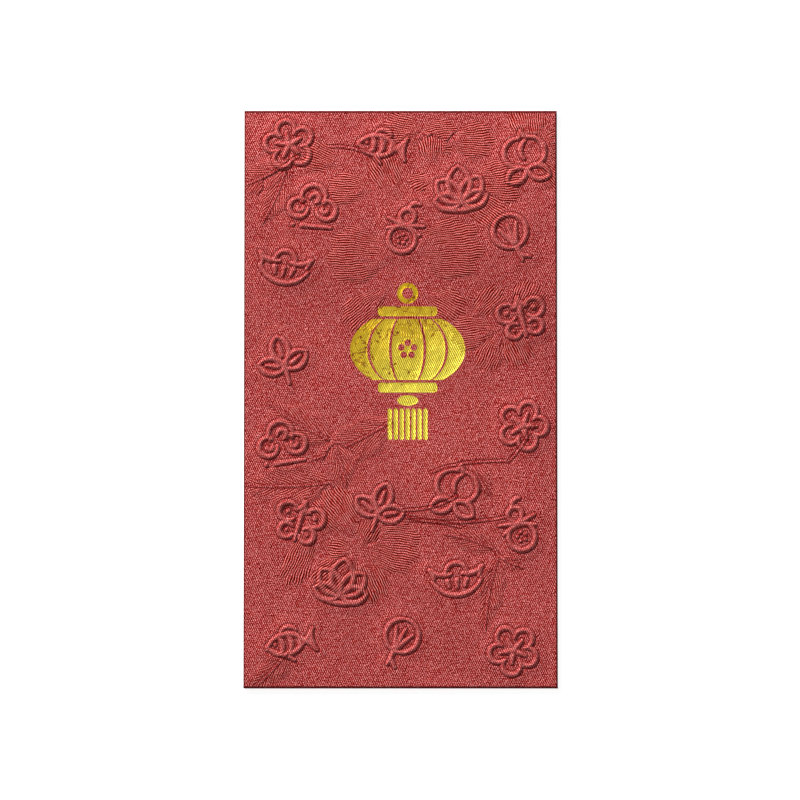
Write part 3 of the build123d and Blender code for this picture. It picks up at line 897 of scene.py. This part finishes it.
flapShape = {
    "taper": 7.0, "corner": 6.0, "cornerPoints": 22, "bottomTaper": 8.0, "sideTaper": 5.0,
    "thumbCut": (16.0, 5.0), "cutPoints": 70, "step": 0.5,
}


def makeTopFlap():
    tip, root = flapLow[1], flapHigh[1]
    corner = flapShape["corner"]
    bend = tip + corner * (1 - np.cos(np.linspace(0, math.pi / 2, flapShape["cornerPoints"])))
    rows = np.concatenate([bend, gridLine(tip + corner, root, flapShape["step"])[1:]])
    half = flapHigh[0] - flapShape["taper"] * (root - rows) / (root - tip)
    drop = np.clip(corner - (rows - tip), 0, corner)
    half -= corner - np.sqrt(corner**2 - drop**2)
    makePanel("topFlapSheet", rows, -half, half, flapLow[2], "flap", "top_flap")


def makeBottomFlap():
    low, high = boxMm("bottom_flap")
    rows = gridLine(low[1], high[1], flapShape["step"])
    half = high[0] - flapShape["bottomTaper"] * (rows - low[1]) / (high[1] - low[1])
    makePanel("bottomFlapSheet", rows, -half, half, low[2], "pocket", "bottom_flap")


def makeBackSheet():
    middle = (backLow[0] + backHigh[0]) / 2
    halfCut, depth = flapShape["thumbCut"]
    bend = middle + halfCut * np.cos(np.linspace(math.pi, 0, flapShape["cutPoints"]))
    left = gridLine(backLow[0], bend[0], flapShape["step"])[:-1]
    right = gridLine(bend[-1], backHigh[0], flapShape["step"])[1:]
    cols = np.concatenate([left, bend, right])
    inCut = np.clip(1 - ((cols - middle) / halfCut)**2, 0, 1)
    top = backHigh[1] - depth * np.sqrt(inCut)
    bottom = np.full_like(cols, backLow[1])
    makePanel("backSheet", cols, bottom, top, backLow[2], "pocket", "back_panel", True)


def makeSideFlap():
    low, high = boxMm("side_glue_flap")
    cols = gridLine(low[0], high[0], flapShape["step"])
    inset = flapShape["sideTaper"] * (cols - low[0]) / (high[0] - low[0])
    lower, upper = low[1] + inset, high[1] - inset
    makePanel("sideFlapSheet", cols, lower, upper, low[2], "pocket", "side_glue_flap", True)


makeTopFlap()
makeBottomFlap()
makeBackSheet()
makeSideFlap()
print("panels made")


# Folds, half rings of paper swept along the edges

foldLook = {"turns": 14, "step": 0.8}


def makeFold(name, node, outward, body, leg=0.0):
    low, high = boxMm(node)
    radius = (high[2] - low[2]) / 2
    inner = radius - paperDepth
    angles = np.linspace(0, math.pi, foldLook["turns"] + 1)
    arc = np.stack([np.sin(angles), np.cos(angles)], -1)
    outerArc, innerArc = arc * radius, arc[::-1] * inner
    if leg:
        outerArc = np.concatenate([outerArc, [[-leg, -radius]]])
        innerArc = np.concatenate([[[-leg, -inner]], innerArc])
    section = np.concatenate([outerArc, innerArc])
    along = 1 if outward[0] else 0
    stations = gridLine(low[along], high[along], foldLook["step"])
    side = outward[0] + outward[1]
    axisPlace = (high if side > 0 else low)[1 - along] - side * radius
    verts = np.zeros((len(stations), len(section), 3))
    verts[:, :, 1 - along] = axisPlace + side * section[:, 0]
    verts[:, :, 2] = (high[2] + low[2]) / 2 + section[:, 1]
    verts[:, :, along] = stations[:, None]
    index = gridIndex(verts[:, :, 0])
    wrapped = np.concatenate([index, index[:, :1]], 1)
    split = len(outerArc)
    faces = [gridQuads(wrapped[:, :split]), gridQuads(wrapped[:, split - 1:])]
    ends = [index[:1, ::-1], index[-1:]]
    turnOver = (side > 0) == (along == 1)
    polygons = [p[:, ::-1] if turnOver else p for p in faces + ends]
    mesh = buildMesh(name, verts.reshape(-1, 3), polygons, (0, 1, 1, 1), low, high)
    return placePiece(mesh, name, (creaseShadePaper, innerPaper), body, [node]), axisPlace, radius


makeFold("leftFoldSheet", "left_fold", (-1, 0), "pocket")
makeFold("rightFoldSheet", "right_fold", (1, 0), "pocket")
makeFold("bottomFoldSheet", "bottom_fold", (0, -1), "pocket")
foldLow, foldHigh = boxMm("top_fold")
creaseLeg = foldHigh[1] - foldLow[1] - (foldHigh[2] - foldLow[2]) / 2
topFold, hingeY, foldRadius = makeFold("topFoldSheet", "top_fold", (0, 1), None, creaseLeg)
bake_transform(topFold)
print("folds made")


# Foil lantern, pressed onto the front sheet

foilShape = {
    "step": 0.2, "margin": 3, "snap": 0.71,  # grid, with its margin and its pull to the outline in steps
    "depth": 0.09, "sink": 0.03, "roll": 0.45,
    "loopBand": 1.4, "capCorner": 1.0, "gap": 0.8, "crown": 2.25, "ribs": (0.30, 0.68),
    "bloomRing": 0.42, "bloomPetal": 0.21, "strandWidth": 1.2, "strandStep": 1.7,
}


def ovalGap(x, y, halfWidth, halfHeight):
    first = np.hypot(x / halfWidth, y / halfHeight)
    second = np.hypot(x / halfWidth**2, y / halfHeight**2)
    return first * (first - 1) / np.maximum(second, 1e-9)


def slabGap(x, y, halfWidth, halfHeight, corner=0.0):
    dx, dy = np.abs(x) - halfWidth + corner, np.abs(y) - halfHeight + corner
    return np.hypot(np.maximum(dx, 0), np.maximum(dy, 0)) + np.minimum(np.maximum(dx, dy), 0) - corner


def makeFoil(node, shapeGap):
    name = "foil" + node[len("foil"):].title().replace("_", "")
    low, high = boxMm(node)
    step = foilShape["step"]
    margin = step * foilShape["margin"]
    across, up = np.meshgrid(*(np.arange(low[axis] - margin, high[axis] + margin, step) for axis in (0, 1)))
    middle = (low + high) / 2
    gap = shapeGap(across - middle[0], up - middle[1])
    slopeY, slopeX = np.gradient(gap, step)
    steep = np.maximum(np.hypot(slopeX, slopeY), 1e-6)
    snap = np.abs(gap) < step * foilShape["snap"]
    across = np.where(snap, across - gap * slopeX / steep, across)
    up = np.where(snap, up - gap * slopeY / steep, up)
    kept = (gap < 0) | snap
    corners = gridQuads(gridIndex(gap))
    held = kept.ravel()[corners]
    quads = corners[held.all(1)]
    three = held.sum(1) == 3
    tris = corners[three][held[three]].reshape(-1, 3)
    used, flatIndex = np.unique(np.concatenate([quads.ravel(), tris.ravel()]), return_inverse=True)
    quads, tris = flatIndex[:quads.size].reshape(-1, 4), flatIndex[quads.size:].reshape(-1, 3)
    x, y = across.ravel()[used], up.ravel()[used]
    rise = samplePaint(frontPaint, "relief", x, y)
    depth = foilShape["depth"] * np.sqrt(smoothStep(-0.02, foilShape["roll"], -gap.ravel()[used]))
    upper = np.stack([x, y, frontTop + rise + depth], -1)
    lower = np.stack([x, y, frontTop + rise - foilShape["sink"]], -1)
    count = len(used)
    sides = [face[:, [a, (a + 1) % size]] for face, size in ((quads, 4), (tris, 3)) for a in range(size)]
    sides = np.concatenate(sides).tolist()
    keys = set(map(tuple, sides))
    border = np.array([s for s in sides if (s[1], s[0]) not in keys])
    walls = np.stack([border[:, 1], border[:, 0], border[:, 0] + count, border[:, 1] + count], -1)
    polygons = [quads, tris, quads[:, ::-1] + count, tris[:, ::-1] + count, walls]
    mesh = buildMesh(name, np.concatenate([upper, lower]), polygons, (0, 0, 1, 1, 1), low, high)
    # One material only: the slots choose the half of the map
    mesh.polygons.foreach_set("material_index", np.zeros(len(mesh.polygons), np.int32))
    for field in fieldBlanks:
        addField(mesh, field, np.tile(samplePaint(frontPaint, field, x, y), 2))
    placePiece(mesh, name, (gold,), "pocket", [node])


def halfSize(node):
    low, high = boxMm(node)
    return (high - low)[:2] / 2


def makeLantern():
    outer = halfSize("foil_loop")[0]
    half = foilShape["loopBand"] / 2
    makeFoil("foil_loop", lambda x, y: np.abs(np.hypot(x, y) - outer + half) - half)
    for node in ("foil_cap", "foil_base"):
        w, h = halfSize(node)
        makeFoil(node, lambda x, y: slabGap(x, y, w, h, foilShape["capCorner"]))
    left, right = boxMm("foil_gore_left_outer"), boxMm("foil_gore_right_outer")
    halfWidth, halfHeight = (right[1][0] - left[0][0]) / 2, (right[1][1] - right[0][1]) / 2
    centreX = (right[1][0] + left[0][0]) / 2
    oval = halfHeight + foilShape["crown"]
    ribs = [share * halfWidth for share in foilShape["ribs"]]
    halfGap = foilShape["gap"] / 2
    middleHalf = ribs[0] - halfGap

    def middleGap(x, y):
        gap = np.maximum(ovalGap(x, y, middleHalf, oval), np.abs(y) - halfHeight)
        for angle in fifths:
            px, py = polar(foilShape["bloomRing"] * middleHalf, angle)
            gap = np.maximum(gap, foilShape["bloomPetal"] * middleHalf - np.hypot(x - px, y - py))
        return gap

    makeFoil("foil_gore_middle", middleGap)
    bands = (("inner", ribs[0] + halfGap, ribs[1] - halfGap), ("outer", ribs[1] + halfGap, halfWidth))
    for side, sideName in ((-1, "left"), (1, "right")):
        for place, near, far in bands:
            node = f"foil_gore_{sideName}_{place}"
            low, high = boxMm(node)
            shift = (low[0] + high[0]) / 2 - centreX

            def goreGap(x, y):
                gap = np.maximum(ovalGap(x + shift, y, far, oval), np.abs(y) - halfHeight)
                gap = np.maximum(gap, -ovalGap(x + shift, y, near, oval))
                return np.maximum(gap, -side * (x + shift))

            makeFoil(node, goreGap)
    w, h = halfSize("foil_knot")
    makeFoil("foil_knot", lambda x, y: ovalGap(x, y, w, h))
    reach = halfSize("foil_tassel")[1]
    half = foilShape["strandWidth"] / 2

    def tasselGap(x, y):
        gaps = [slabGap(x - k * foilShape["strandStep"], y, half, reach, half) for k in range(-3, 4)]
        return np.minimum.reduce(gaps)

    makeFoil("foil_tassel", tasselGap)


makeLantern()
print("foil made")

thinNodes = {
    "side_glue": "driedGlue", "bottom_glue": "driedGlue",
    "flap_tape": "adhesiveTape", "release_liner": "releasePaper",
}
for node, material in thinNodes.items():
    piece = next(o for o in bpy.context.scene.objects if o.get("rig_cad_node") == node)
    piece.data.materials.clear()
    piece.data.materials.append(thin[material])
print("thin layers dressed")


# Floor, light and camera

studio = {
    "floorSize": 3.0, "floorDrop": 0.00002, "floorColour": (0.8, 0.8, 0.8, 1), "floorGlow": 0.75,
    "white": (1, 1, 1, 1), "worldGlow": 0.12, "ceilingGlow": 0.70, "ceilingEdge": (0.72, 0.985),
    "keyLamp": {"place": (-1.02, 1.44, 0.78), "size": 0.33, "power": 78.0, "glossy": False},
    "softbox": {"place": (0.32, -0.16, 0.90), "size": 0.5, "power": 1.7, "glossy": True},
    "underLamp": {"place": (-0.60, -0.50, -0.55), "size": 0.5, "power": 10.5, "glossy": False},
    "lens": 100.0, "sensor": 36.0, "clip": (0.01, 20), "pixelsPerMm": 3.486, "imagePixels": 800,
    "lean": 1.54, "aim": (-0.18, -0.4),
}


def makeFloor():
    half = studio["floorSize"] / 2
    mesh = bpy.data.meshes.new("floor")
    corners = [(-half, -half, 0), (half, -half, 0), (half, half, 0), (-half, half, 0)]
    mesh.from_pydata(corners, [], [(0, 1, 2, 3)])
    floor = addObject("floor", mesh)
    floor.location.z = -studio["floorDrop"]
    material, tree, shader = newMaterial("floorWhite")
    path = addNode(tree, "LightPath")
    seen = calc("MAXIMUM", path["Is Camera Ray"], path["Is Glossy Ray"])
    seen = calc("MAXIMUM", seen, path["Is Transmission Ray"])
    setInputs(shader, {
        "Base Color": studio["floorColour"],
        "Roughness": 0.9,
        "Specular IOR Level": 0.0,
        "Emission Color": studio["white"],
        "Emission Strength": calc("MULTIPLY", seen, studio["floorGlow"]),
    })
    # Clear from below, and to the lamp that lights the underside
    clear = addNode(tree, "BsdfTransparent")[0]
    under = calc("MAXIMUM", addNode(tree, "NewGeometry")["Backfacing"], path["Is Shadow Ray"])
    mixed = follow("MixShader", {0: under, 1: shader.outputs[0], 2: clear})[0]
    setInputs(tree.nodes["Material Output"], {"Surface": mixed})
    mesh.materials.append(material)


def makeWorld():
    # White all round, dimmer overhead, so that the foil has something to mirror
    world = bpy.data.worlds.new("studioWorld")
    world.use_nodes = True
    tree = world.node_tree
    path = addNode(tree, "LightPath")
    upward = follow("SeparateXYZ", {0: addNode(tree, "TexCoord")["Generated"]})[2]
    overhead = ramp(upward, *studio["ceilingEdge"], 1.0, studio["ceilingGlow"])
    reflected = calc("MAXIMUM", path["Is Glossy Ray"], path["Is Transmission Ray"])
    reflected = calc("MULTIPLY", reflected, overhead)
    seen = calc("MAXIMUM", path["Is Camera Ray"], reflected)
    strength = calc("MAXIMUM", seen, studio["worldGlow"])
    setInputs(tree.nodes["Background"], {"Color": studio["white"], "Strength": strength})
    bpy.context.scene.world = world


def makeLamp(name, values):
    light = bpy.data.lights.new(name, "AREA")
    light.size = values["size"]
    light.energy = values["power"]
    lamp = addObject(name, light)
    lamp.location = values["place"]
    lamp.visible_camera = False
    lamp.visible_glossy = values["glossy"]
    lamp.rotation_euler = (-Vector(values["place"])).to_track_quat("-Z", "Y").to_euler()


def makeCamera():
    data = bpy.data.cameras.new("camera")
    data.lens, data.sensor_width = studio["lens"], studio["sensor"]
    data.clip_start, data.clip_end = studio["clip"]
    camera = addObject("camera", data)
    distance = studio["lens"] * studio["imagePixels"] / (studio["sensor"] * studio["pixelsPerMm"]) * mm
    aim = Vector((studio["aim"][0] * mm, studio["aim"][1] * mm, frontTop * mm))
    lean = math.radians(studio["lean"])
    camera.location = aim + Vector((0, -math.sin(lean), math.cos(lean))) * distance
    camera.rotation_euler = (lean, 0, 0)
    bpy.context.scene.camera = camera


makeFloor()
makeWorld()
for name in ("keyLamp", "softbox", "underLamp"):
    makeLamp(name, studio[name])
makeCamera()
bpy.context.scene.view_settings.view_transform = "Standard"
print("studio made")
